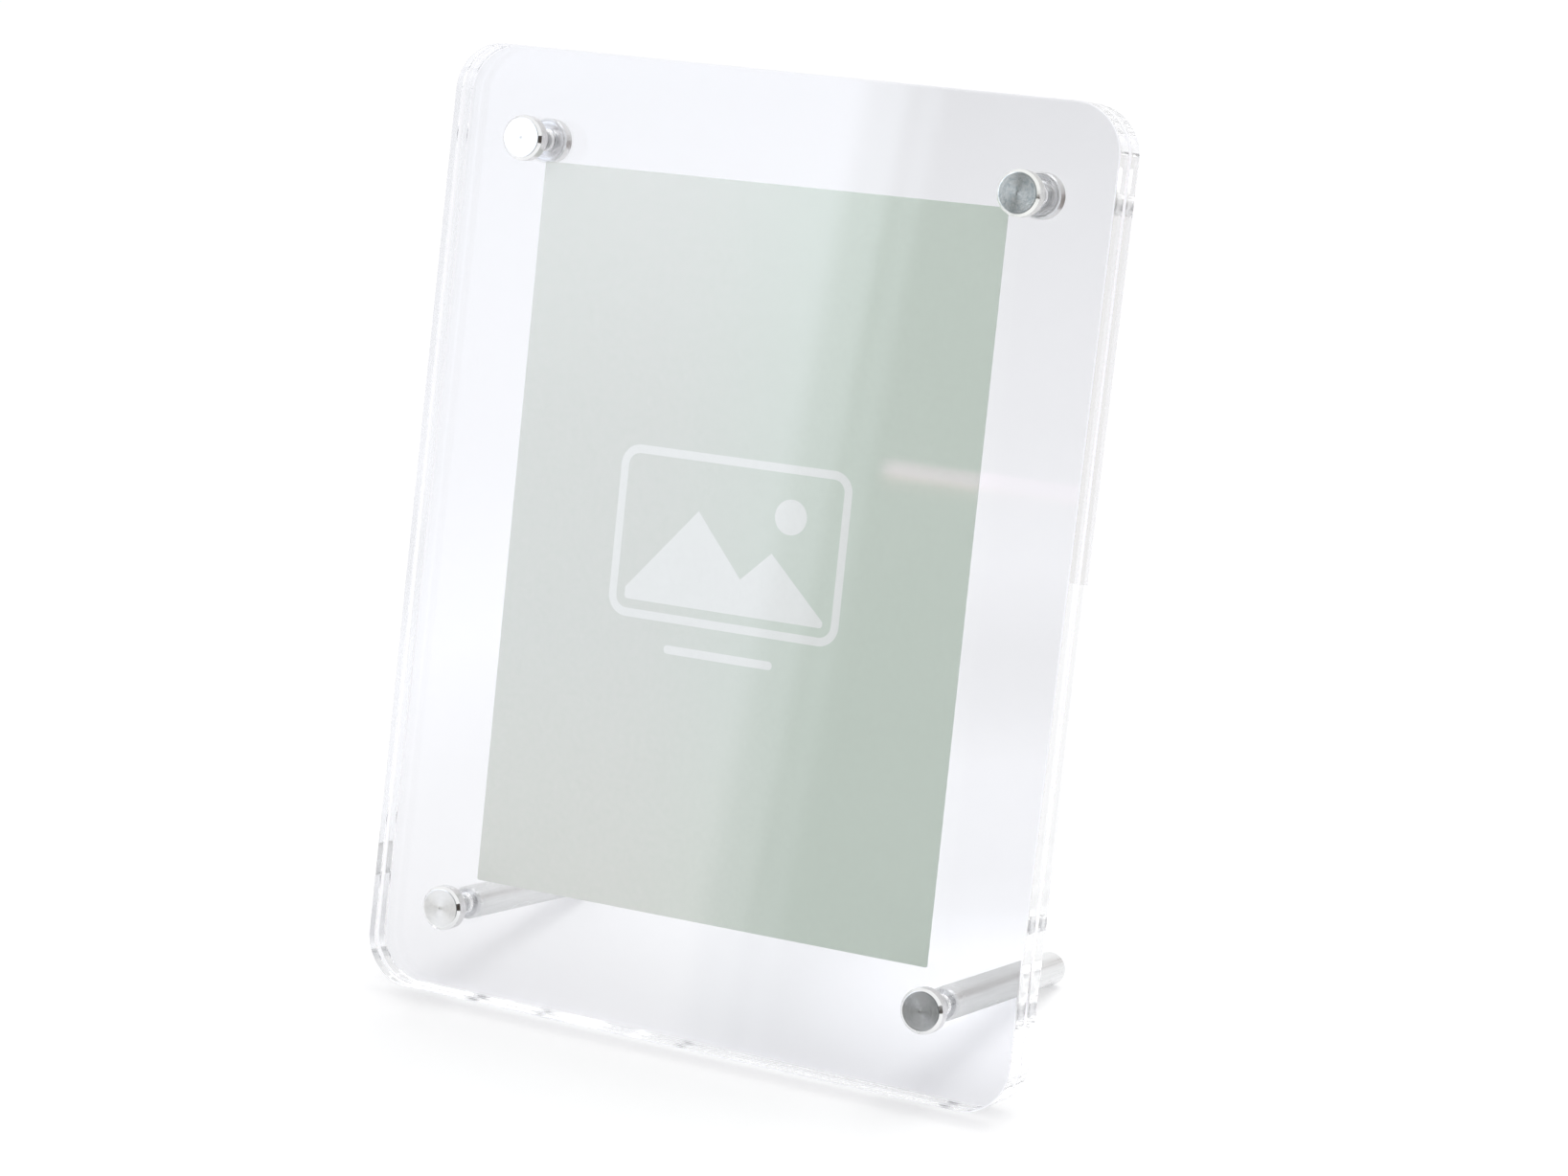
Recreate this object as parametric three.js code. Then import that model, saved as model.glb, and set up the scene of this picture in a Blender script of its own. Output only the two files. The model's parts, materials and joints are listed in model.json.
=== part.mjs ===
// A desk photo frame: two clear acrylic plates hold a card between them. A turned metal cap at each
// corner screws on to a threaded stud that runs back through both plates. The upper two studs end in
// short nuts behind the frame, the lower two in long rods that are its legs, so the frame leans back.
// Millimetres, +Z up, the picture faces -Y. The origin is on the table, at the middle of the footprint.
import * as THREE from 'three';

// The card between the plates
const CARD_WIDTH = 90;
const CARD_HEIGHT = 130;
const CARD_THICKNESS = 0.25;
// The card was dropped in by hand: a little high and a little crooked
const CARD_RISE = 1.4;
const CARD_TURN = THREE.MathUtils.degToRad(0.65);
// From the card's printed edge out to the screw axes
const CARD_SIDE_TO_SCREW = 3;
const CARD_END_TO_SCREW = 4.5;

// The acrylic plates
const PLATE_THICKNESS = 4;
const SCREW_TO_PLATE_EDGE = 16.3;
const CORNER_RADIUS = 9;
const EDGE_BEVEL = 0.3;

// The turned caps at the front, and the nuts behind the upper two
const CAP_DIAMETER = 8;
const CAP_HEIGHT = 2.6;
const CAP_CHAMFER = 0.5;
const CAP_FACE_THICKNESS = 0.7;
const CAP_EDGE_BREAK = 0.1;
const PIP_DIAMETER = 0.9;
const PIP_DEPTH = 0.2;

// The studs that join each cap to its nut or leg
const STUD_DIAMETER = 3;
const STUD_CHAMFER = 0.4;
const STUD_IN_LEG = 5;

// The legs
const LEG_DIAMETER = 6;
const LEG_LENGTH = 45;
const LEG_CHAMFER = 0.4;
// The cone that a drill leaves at the bottom of a hole, as height over radius
const DRILL_POINT = 0.6;

// Clearances
const STUD_CLEARANCE = 0.3;
const CARD_CLEARANCE = 0.3;
const SEAT_CLEARANCE = 0.3;
const STUD_END_CLEARANCE = 0.3;

// How finely the round forms are faceted
const TURNED_SIDES = 40;
const STUD_SIDES = 24;
const HOLE_STEPS = 12;

// What follows from the driving sizes
const SCREW_X = CARD_WIDTH / 2 + CARD_SIDE_TO_SCREW;
const SCREW_Y = CARD_HEIGHT / 2 + CARD_END_TO_SCREW;
const PLATE_WIDTH = 2 * (SCREW_X + SCREW_TO_PLATE_EDGE);
const PLATE_HEIGHT = 2 * (SCREW_Y + SCREW_TO_PLATE_EDGE);
const PLATE_GAP = CARD_THICKNESS + 2 * CARD_CLEARANCE;
const STACK_DEPTH = 2 * PLATE_THICKNESS + PLATE_GAP;
const BORE_RADIUS = STUD_DIAMETER / 2 + STUD_CLEARANCE;
const CAP_BORE_DEPTH = CAP_HEIGHT - CAP_FACE_THICKNESS;

// The frame rests on the lower back edge of the rear plate and on the back rims of the two legs,
// so these two contacts set the angle at which it leans back
const CONTACT_RISE = PLATE_HEIGHT / 2 - SCREW_Y - LEG_DIAMETER / 2;
const CONTACT_REACH = EDGE_BEVEL + SEAT_CLEARANCE + LEG_LENGTH - LEG_CHAMFER;
const LEAN = Math.atan2(CONTACT_RISE, CONTACT_REACH);

// What each piece is made of
const acrylic = { color: 0xf4f8f9, roughness: 0.03, metalness: 0, transparent: true, opacity: 0.3 };
const aluminium = { color: 0xd4d6d9, roughness: 0.28, metalness: 1 };
const satinAluminium = { color: 0xd0d1d3, roughness: 0.42, metalness: 1 };
const steel = { color: 0xb9bcbf, roughness: 0.35, metalness: 1 };
const cardStock = { color: 0xb7c4b8, roughness: 0.85, metalness: 0 };

function piece(name, geometry, finish) {
  const mesh = new THREE.Mesh(geometry, new THREE.MeshStandardMaterial(finish));
  mesh.name = name;
  return mesh;
}

// A rounded rectangle centred on the origin
function roundedRectangle(width, height, radius) {
  const x = width / 2;
  const y = height / 2;
  const shape = new THREE.Shape();
  shape.moveTo(-x + radius, -y);
  shape.lineTo(x - radius, -y);
  shape.absarc(x - radius, -y + radius, radius, -Math.PI / 2, 0);
  shape.lineTo(x, y - radius);
  shape.absarc(x - radius, y - radius, radius, 0, Math.PI / 2);
  shape.lineTo(-x + radius, y);
  shape.absarc(-x + radius, y - radius, radius, Math.PI / 2, Math.PI);
  shape.lineTo(-x, -y + radius);
  shape.absarc(-x + radius, -y + radius, radius, Math.PI, 1.5 * Math.PI);
  return shape;
}

// Where the four screws stand, seen from the front
const corners = [
  { place: 'top_left', x: -SCREW_X, y: SCREW_Y },
  { place: 'top_right', x: SCREW_X, y: SCREW_Y },
  { place: 'bottom_left', x: -SCREW_X, y: -SCREW_Y },
  { place: 'bottom_right', x: SCREW_X, y: -SCREW_Y },
];

// One acrylic plate with its front face at z = 0, polished corners and a fine bevel on every edge
function plateGeometry() {
  const outline = roundedRectangle(PLATE_WIDTH, PLATE_HEIGHT, CORNER_RADIUS);
  for (const { x, y } of corners) {
    const hole = new THREE.Path();
    hole.absarc(x, y, BORE_RADIUS, 0, 2 * Math.PI, true);
    outline.holes.push(hole);
  }
  const geometry = new THREE.ExtrudeGeometry(outline, {
    depth: PLATE_THICKNESS - 2 * EDGE_BEVEL,
    bevelEnabled: true,
    bevelThickness: EDGE_BEVEL,
    bevelSize: EDGE_BEVEL,
    bevelOffset: -EDGE_BEVEL,
    bevelSegments: 1,
    curveSegments: HOLE_STEPS,
  });
  return geometry.translate(0, 0, EDGE_BEVEL - PLATE_THICKNESS);
}

// A turned form whose axis is Z, from pairs of radius and height
function turned(profile, sides) {
  const points = profile.map(([radius, height]) => new THREE.Vector2(radius, height));
  return new THREE.LatheGeometry(points, sides).rotateX(Math.PI / 2);
}

// A cap seen from the front: bored from behind for the stud, chamfered at the front rim, with the
// small pip that the lathe leaves in the middle of its faced front. Its back face is at z = 0.
function capGeometry() {
  const radius = CAP_DIAMETER / 2;
  return turned([
    [0, CAP_BORE_DEPTH],
    [BORE_RADIUS, CAP_BORE_DEPTH],
    [BORE_RADIUS, 0],
    [radius - CAP_EDGE_BREAK, 0],
    [radius, CAP_EDGE_BREAK],
    [radius, CAP_HEIGHT - CAP_CHAMFER],
    [radius - CAP_CHAMFER, CAP_HEIGHT],
    [PIP_DIAMETER / 2, CAP_HEIGHT],
    [0, CAP_HEIGHT - PIP_DEPTH],
  ], TURNED_SIDES);
}

// A stud between two heights along its axis, chamfered at both ends
function studGeometry(back, front) {
  const radius = STUD_DIAMETER / 2;
  return turned([
    [0, back],
    [radius - STUD_CHAMFER, back],
    [radius, back + STUD_CHAMFER],
    [radius, front - STUD_CHAMFER],
    [radius - STUD_CHAMFER, front],
    [0, front],
  ], STUD_SIDES);
}

// A leg whose front face is at z = 0 and which runs back from there, bored at the front for its stud
function legGeometry() {
  const radius = LEG_DIAMETER / 2;
  const boreDepth = STUD_IN_LEG + STUD_END_CLEARANCE;
  return turned([
    [0, -LEG_LENGTH],
    [radius - LEG_CHAMFER, -LEG_LENGTH],
    [radius, -LEG_LENGTH + LEG_CHAMFER],
    [radius, -LEG_CHAMFER],
    [radius - LEG_CHAMFER, 0],
    [BORE_RADIUS, 0],
    [BORE_RADIUS, -boreDepth],
    [0, -boreDepth - DRILL_POINT * BORE_RADIUS],
  ], TURNED_SIDES);
}

// The frame is built flat against z = 0, its front face, and then stood up and leant back
const frame = new THREE.Group();

const frontPlate = piece('front_plate', plateGeometry(), acrylic);
const backPlate = piece('back_plate', plateGeometry(), acrylic);
backPlate.position.z = -PLATE_THICKNESS - PLATE_GAP;
frame.add(frontPlate, backPlate);

const cardGeometry = new THREE.BoxGeometry(CARD_WIDTH, CARD_HEIGHT, CARD_THICKNESS);
const card = piece('photo_card', cardGeometry, cardStock);
card.position.set(0, CARD_RISE, -PLATE_THICKNESS - PLATE_GAP / 2);
card.rotation.z = CARD_TURN;
frame.add(card);

const studFront = SEAT_CLEARANCE + CAP_BORE_DEPTH - STUD_END_CLEARANCE;
for (const { place, x, y } of corners) {
  const side = x < 0 ? 'left' : 'right';
  const cap = piece(`cap_${place}`, capGeometry(), aluminium);
  cap.position.set(x, y, SEAT_CLEARANCE);

  const held = y > 0
    ? piece(`rear_nut_${side}`, capGeometry(), aluminium)
    : piece(`leg_rod_${side}`, legGeometry(), satinAluminium);
  held.position.set(x, y, -STACK_DEPTH - SEAT_CLEARANCE);
  if (y > 0) {
    held.rotation.y = Math.PI;
  }

  const studReach = y > 0 ? CAP_BORE_DEPTH - STUD_END_CLEARANCE : STUD_IN_LEG;
  const studBack = -STACK_DEPTH - SEAT_CLEARANCE - studReach;
  const stud = piece(`stud_${place}`, studGeometry(studBack, studFront), steel);
  stud.position.set(x, y, 0);
  frame.add(cap, held, stud);
}

frame.rotation.x = Math.PI / 2 - LEAN;

// The whole part, moved so that it stands on z = 0 over the middle of its footprint
const part = new THREE.Group();
part.add(frame);
const box = new THREE.Box3().setFromObject(part, true);
part.position.y = -(box.min.y + box.max.y) / 2;
part.position.z = -box.min.z;

export default part;
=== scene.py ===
import json
import math
import random

import bpy
from mathutils import Matrix, Vector
from mathutils.geometry import tessellate_polygon


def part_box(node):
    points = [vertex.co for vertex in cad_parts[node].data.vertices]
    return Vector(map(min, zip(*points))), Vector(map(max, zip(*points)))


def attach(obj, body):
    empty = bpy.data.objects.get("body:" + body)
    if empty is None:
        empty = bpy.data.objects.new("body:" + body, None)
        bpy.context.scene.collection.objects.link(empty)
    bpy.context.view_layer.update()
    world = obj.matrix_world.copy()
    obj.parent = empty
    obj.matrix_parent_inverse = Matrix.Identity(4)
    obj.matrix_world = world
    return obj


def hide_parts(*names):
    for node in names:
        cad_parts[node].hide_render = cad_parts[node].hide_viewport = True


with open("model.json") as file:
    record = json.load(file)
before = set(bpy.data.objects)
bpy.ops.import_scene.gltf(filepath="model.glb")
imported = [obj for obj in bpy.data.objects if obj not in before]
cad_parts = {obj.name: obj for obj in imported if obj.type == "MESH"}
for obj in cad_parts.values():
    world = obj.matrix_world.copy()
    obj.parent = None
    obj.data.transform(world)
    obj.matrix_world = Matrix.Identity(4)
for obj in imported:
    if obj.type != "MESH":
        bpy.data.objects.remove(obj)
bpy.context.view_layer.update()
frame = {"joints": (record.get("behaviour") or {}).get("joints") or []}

# Sizes in millimetres: the part source's own, and the finer detail that only this model has
MM = 0.001
SCREW_X, SCREW_Y = 48.0, 69.5
PLATE_THICKNESS = 4.0
CORNER_RADIUS, CORNER_STEPS = 9.0, 48
EDGE_BEVEL, BEVEL_STEPS = 0.3, 5
# Rows of points close to a curve's end, which keep the flat beside it flat
CORNER_SUPPORT, BEVEL_SUPPORT = 0.6, 0.05
HOLE_RADIUS, HOLE_BREAK, HOLE_STEPS = 1.8, 0.15, 48

CARD_WIDTH, CARD_HEIGHT, CARD_THICKNESS = 90.0, 130.0, 0.25
CARD_TURN = math.radians(0.65)
CARD_COLUMNS, CARD_ROWS = 45, 65
CARD_RIM, CARD_CORNER_CUT = 0.3, 0.35
CARD_BOW, BOW_LENGTH_X, BOW_LENGTH_Y = 0.06, 31, 38
BOW_START_X, BOW_START_Y = 0.6, 0.3

CAP_RADIUS, CAP_HEIGHT, CAP_CHAMFER = 4.0, 2.6, 0.5
CAP_SEAT, CAP_BREAK, CAP_BORE_DEPTH, CAP_BORE_TIP = 0.3, 0.25, 1.9, 0.1
BORE_RADIUS, BORE_BREAK = 1.56, 0.2
# The centre mark that facing leaves. Its shape is in shares of its radius and depth, axis first.
PIP_RADIUS, PIP_DEPTH = 0.35, 0.012
PIP_SHAPE = ((0, 1), (0.25, 0.95), (0.8, 0.2))
GROOVE_SPACING, GROOVE_DEPTH, SEAT_GROOVE_DEPTH = 0.14, 0.005, 0.022
GROOVE_SPREAD = (0.4, 1.6)
CAP_SOFT, CAP_SOFT_SHARE, ROD_SOFT = 0.05, 0.4, 0.04

STUD_RADIUS, STUD_CHAMFER = 1.5, 0.4
STUD_FRONT, STUD_BACK_TOP, STUD_BACK_BOTTOM = 1.9, -10.75, -14.15
THREAD_PITCH, THREAD_DEPTH, THREAD_CREST, THREAD_FLANK = 0.5, 0.28, 0.12, 0.68
THREAD_STEPS, THREAD_ROWS = 36, 8

STACK_BACK, SEAT_CLEARANCE = -8.85, 0.3
ROD_RADIUS, ROD_LENGTH, ROD_CHAMFER = 3.0, 45.0, 0.4
ROD_BORE_DEPTH, ROD_BORE_TIP, ROD_RIPPLE = 5.3, 0.6, 0.0025
CAP_STEPS, ROD_STEPS = 112, 160
SHARP_ANGLE = math.radians(22)

# Materials. Scales are noise cells per metre, depths and reaches are metres. A pair named FROM says
# between which values of a noise a mark sets in, and one named FACING how far a surface faces along
# the piece's own z.

# Acrylic
ACRYLIC_TINT = (0.925, 0.927, 0.934)
ACRYLIC_IOR = 1.49
# What a face and an edge let through of the light that passes on to other surfaces
FACE_LETS = (0.957, 0.959, 0.962)
EDGE_LETS = (0.72, 0.72, 0.73)
EDGE_FACING = (0.3, 0.6)
HAIR_SCALE, HAIR_TURN, HAIR_FROM, HAIR_DEPTH = (60, 2600, 60), (0, 0, 0.5), (0.66, 0.72), 0.0000002
SMEAR_SCALE, SMEAR_FROM, SMEAR_ROUGHNESS = 55.0, (0.55, 0.8), 0.002
EDGE_ROUGHNESS = 0.006
HOLE_REACH, HOLE_ROUGHNESS = (0.0020, 0.0022), 0.3
HOLE_MARK_SCALE, HOLE_MARK_DEPTH, HOLE_MARK_STRENGTH = (400, 400, 9000), 0.000012, 0.6

# Turned aluminium
BRIGHT = {
    "base": (0.87, 0.875, 0.88), "stain": (0.83, 0.835, 0.84),
    "spots": 0.2, "pits": 0.0000012, "flecks": 2100.0,
}
SPOTTED = {
    "base": (0.88, 0.89, 0.87), "stain": (0.58, 0.63, 0.63),
    "spots": 0.8, "pits": 0.000006, "flecks": 3800.0,
}
FACE_FACING, SIDE_FACING = (0.85, 0.96), (0.3, 0.6)
# How much darker and warmer the turned sides are painted than the faces: painted shade with a warm
# cast
SIDE_SHADE_TINT = (0.90, 0.885, 0.88)
CLOUD_PER_FLECK, STAIN_FROM = 2.8, (0.42, 0.68)
SPOT_COLOUR, SPOT_FROM, PIT_STRENGTH = (0.98, 0.98, 0.98), (0.6, 0.68), 0.5
RING_SPACING, RING_DEPTH, RING_STRENGTH = 0.00009, 0.0000005, 0.6
# Darker brown rings on the seat faces, which face the viewer on the rear nuts: painted shade and
# painted brown reflection, laid out in rings round the axis
SEAT_SHADE_SCALE, SEAT_SHADE_FROM, SEAT_SHADE_SHARE, SEAT_SHADE_COLOUR = 3200.0, (0.42, 0.58), 0.5, (0.50, 0.47, 0.45)
BURR_REACH, BURR_SHARE, BURR_COLOUR = (0.00012, 0.00055), 0.5, (0.42, 0.41, 0.39)
ROUGH_FROM = (0.3, 0.75)
FACE_ROUGHNESS, SEAT_ROUGHNESS = (0.16, 0.21), 0.2
SIDE_ROUGHNESS, SIDE_ROUGHNESS_CLOUD = (0.2, 0.08), 0.05
TURNED_ANISOTROPY, TURNED_ANISOTROPY_TURN = 0.8, 0.25

# Satin rods and steel studs
SATIN_BASE, SATIN_LINE_SHADE = (0.92, 0.925, 0.93), 0.86
SATIN_LINE_SCALE, SATIN_LINE_FROM = (2400, 2400, 45), (0.35, 0.7)
SATIN_LINE_DEPTH, SATIN_LINE_STRENGTH = 0.000004, 0.5
SATIN_CLOUD_SCALE, SATIN_CLOUD_FROM = (160, 160, 60), (0.3, 0.7)
SATIN_ROUGHNESS, SATIN_ANISOTROPY = (0.24, 0.36), 0.55
STEEL_BASE, STEEL_SHADE = (0.88, 0.88, 0.89), 0.92
STEEL_CLOUD_SCALE, STEEL_CLOUD_FROM = 900.0, (0.35, 0.7)
STEEL_ROUGHNESS, STEEL_DEPTH, STEEL_STRENGTH = (0.3, 0.45), 0.000005, 0.4

# The card: its paper, and its printed sign in millimetres
CARD_GREEN = (0.637, 0.717, 0.643)
CARD_GREEN_DEEP = (0.617, 0.702, 0.624)
# The paler, greyer green that the card's left side turns to: a painted reflection of the bright
# panel at the left
CARD_SHEEN_COLOUR = (0.682, 0.703, 0.665)
CARD_PRINT = (0.84, 0.86, 0.845)
CARD_SHEEN_REACH, CARD_CLOUD_SCALE, CARD_CLOUD_FROM = 22.5, 22.0, (0.3, 0.7)
GRAIN_SCALE, GRAIN_FROM, GRAIN_SHADE, GRAIN_SHARE = 900.0, (0.4, 0.62), 0.9, 0.25
GRAIN_DEPTH, GRAIN_STRENGTH, GRAIN_ROUGH_FROM = 0.00003, 0.35, (0.3, 0.7)
CARD_ROUGHNESS, COAT_ROUGHNESS, COAT_IOR = (0.42, 0.56), 0.025, 2.0
PRINT_GRAIN_FROM, PRINT_SHADE, PRINT_EDGE, PRINT_FACING = (0.4, 0.7), 0.97, 0.05, (0.2, 0.6)
SIGN_CENTRE, SIGN_HALF, SIGN_LINE, SIGN_CORNER = (-1.0, 2.0), (22.0, 14.5), 1.5, 3.0
# Two hills: where each peak is, across and up, and how steep its sides are
HILLS = ((-6.5, 5.0, 1.15), (8.5, -0.5, 0.95))
HILLS_FROM_FRAME = 2.4
SUN_X, SUN_Y, SUN_RADIUS = 11.5, 6.2, 3.1
DASH_DROP, DASH_HALF, DASH_RADIUS = 5.5, 10.0, 0.75

# The floor glows a little over the light that falls on it: painted light whose level changes by
# place. Stops are (metres from a centre, level).
FLOOR_RADIUS, FLOOR_SIDES = 9, 48
FLOOR_COLOUR = (0.86, 0.86, 0.865)
FLOOR_GLOW_CENTRE = (0.02, 0.07, 0.0)
FLOOR_OPEN_GLOW = ((0.1, 0.13), (0.3, 0.15), (0.7, 0.18), (1.6, 0.45))
FLOOR_THROUGH_GLOW = (
    (0.0, 0.285), (0.05, 0.285), (0.085, 0.19), (0.115, 0.165),
    (0.17, 0.24), (0.27, 0.18), (0.65, 0.15), (1.6, 0.45),
)
# A painted pool of light by the right leg's foot, which lifts the shade there where the floor is
# seen through the plates
FLOOR_POOL_CENTRE = (0.045, 0.02, 0.0)
FLOOR_POOL_GLOW = ((0.0, 0.2), (0.02, 0.17), (0.04, 0.03), (0.055, 0.0))
# The lavender tint of the floor seen through the plates: a painted reflection
FLOOR_THROUGH_COLOUR = (0.975, 0.97, 1.05)
FLOOR_METAL_SHARE = 0.6

# The room that the front faces mirror. Stops are (place across or up in metres, level).
ROOM_CENTRE, ROOM_FACING, ROOM_SIZE = (-0.2, -0.9, 0.5), (-0.2, 0.0, 0.5), (2.2, 1.0)
PANEL_COLOUR = (0.85, 0.89, 0.96)
PANEL_LOW_COLOUR = (1.0, 0.985, 0.96)
PANEL_LOW_HEIGHTS = (0.06, 0.2)
PANEL_STEPS = (
    (-0.4545, 1.0), (-0.444, 0.58), (-0.431, 0.52),
    (-0.425, 0.13), (-0.419, 0.26), (-0.414, 0.22), (-0.409, 0.0),
)
PANEL_SLANT, PANEL_SLANT_FROM = 0.05, 0.40
PANEL_LEVELS = ((0.05, 0.82), (0.13, 1.03), (0.185, 1.13), (0.295, 1.27), (0.41, 1.68), (0.47, 1.9))
DIM_COLOUR = (0.905, 0.98, 0.995)
DIM_HEIGHTS, DIM_LEVELS = (0.0, 0.5), (0.10, 0.26)
BAR_HEIGHT = 0.2965
BAR_COLOUR, BAR_LOW_COLOUR = (1.15, 0.64, 0.92), (1.15, 0.5, 0.45)
BAR_COLOUR_RISE = (-0.005, -0.002)
BAR_RISE = ((-0.012, 0.0), (-0.006, 0.14), (-0.0025, 1.0), (0.002, 1.0), (0.0045, 0.0))
BAR_STEPS = (
    (-0.403, 0.0), (-0.397, 1.0), (-0.356, 0.9), (-0.345, 0.35), (-0.29, 0.3), (-0.27, 0.0),
)

# Cards that only the metal mirrors: each one's name and shade, where it stands, what it faces, its
# width and height, its level and its colour
METAL_CARDS = (
    ("dark_card", "dark", (0.98, -0.58, 0.34), (0, 0, 0.1), 0.4, 0.56, 0.07, (1, 0.82, 0.72)),
    ("back_card", "grey", (0.62, 1.25, 0.11), (0, 0, 0.1), 1.2, 0.3, 0.85, (1, 0.975, 0.96)),
    ("brown_card", "brown", (0.34, 0.66, 0.004), (0.34, 0.66, 1), 0.5, 0.9, 0.42, (1, 0.88, 0.82)),
)
METAL_CARD_SCALE, METAL_CARD_FROM, METAL_CARD_SHADE = 9.0, (0.35, 0.65), 0.7

# Lamps: each one's name and place, what it is aimed at, its size in metres and power in watts, and
# whether it casts shadows
LAMPS = (
    ("key", (0.3, 0.45, 1.2), (0, 0, 0.05), 0.9, 4.8, True),
    ("fill", (-0.6, -1.0, 0.9), (0, 0, 0.08), 0.9, 7.6, False),
)
AMBIENT = 0.70
# Light that is turned back inside a plate's edge needs this many turns to find its way out
LIGHT_BOUNCES = 256

CAMERA_PLACE = Vector((0.306186, -0.559875, 0.318281))
CAMERA_RIGHT = Vector((0.88665, 0.46205, -0.01921))
CAMERA_DOWN = Vector((0.14649, -0.32003, -0.93601))
CAMERA_AHEAD = Vector((-0.43863, 0.82710, -0.35144))
CAMERA_LENS, CAMERA_FILM, CAMERA_NEAR = 89.2988, 36.0, 0.01

rng = random.Random(7)

# The leaning plates' own frame: x to the viewer's right, y up the plate, z out of its front face
joints = {joint["name"]: joint for joint in frame["joints"]}
NORMAL = Vector(joints["front_plate_lift"]["axis"]).normalized()
UP = Vector(joints["card_lift"]["axis"]).normalized()


def middle(node):
    low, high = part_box(node)
    return (Vector(low) + Vector(high)) / 2


def half_size(node):
    low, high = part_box(node)
    return (Vector(high) - Vector(low)) / 2


face_centre = middle("front_plate") + NORMAL * PLATE_THICKNESS / 2 * MM
LEANED = Matrix((
    (1.0, UP.x, NORMAL.x, face_centre.x),
    (0.0, UP.y, NORMAL.y, face_centre.y),
    (0.0, UP.z, NORMAL.z, face_centre.z),
    (0.0, 0.0, 0.0, 1.0),
))
LEAN = LEANED.to_3x3().to_4x4()


def on_plate(x=0.0, y=0.0, z=0.0):
    """A place in the leaning frame, in millimetres."""
    return LEANED @ Matrix.Translation(Vector((x, y, z)) * MM)


def new_object(name, data, place=None):
    made = bpy.data.objects.new(name, data)
    bpy.context.scene.collection.objects.link(made)
    if place is not None:
        made.matrix_world = place
    return made


def new_piece(name, points, faces, place, material, smooth=None):
    """A mesh from points in millimetres. smooth says for each face whether it is shaded smooth."""
    mesh = bpy.data.meshes.new(name)
    mesh.from_pydata([Vector(p) * MM for p in points], [], faces)
    mesh.validate()
    if smooth is None:
        mesh.shade_smooth()
        mesh.set_sharp_from_angle(angle=SHARP_ANGLE)
    else:
        mesh.polygons.foreach_set("use_smooth", smooth)
    mesh.update()
    mesh.materials.append(material)
    return new_object(name, mesh, place)


# Meshes

def rounded_ring(half_width, half_height, inset, z):
    """The plate's outline, set in from its edge, with a support point beside each corner's ends."""
    def along(start, angle, step):
        return start[0] - step * math.sin(angle), start[1] + step * math.cos(angle)

    points = []
    radius = CORNER_RADIUS - inset
    for quarter, (sx, sy) in enumerate(((1, 1), (-1, 1), (-1, -1), (1, -1))):
        cx, cy = sx * (half_width - CORNER_RADIUS), sy * (half_height - CORNER_RADIUS)
        angles = [math.pi / 2 * (quarter + k / CORNER_STEPS) for k in range(CORNER_STEPS + 1)]
        arc = [(cx + radius * math.cos(a), cy + radius * math.sin(a)) for a in angles]
        lead = along(arc[0], angles[0], -CORNER_SUPPORT)
        tail = along(arc[-1], angles[-1], CORNER_SUPPORT)
        points += [(x, y, z) for x, y in (lead, *arc, tail)]
    return points


def circle(cx, cy, radius, z, steps):
    angles = [2 * math.pi * k / steps for k in range(steps)]
    return [(cx + radius * math.cos(a), cy + radius * math.sin(a), z) for a in angles]


def band(first, second, count, inward):
    """The faces between two rings of count points that start at first and second."""
    faces = []
    for k in range(count):
        n = (k + 1) % count
        face = (first + k, second + k, second + n, first + n)
        faces.append(tuple(reversed(face)) if inward else face)
    return faces


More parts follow.
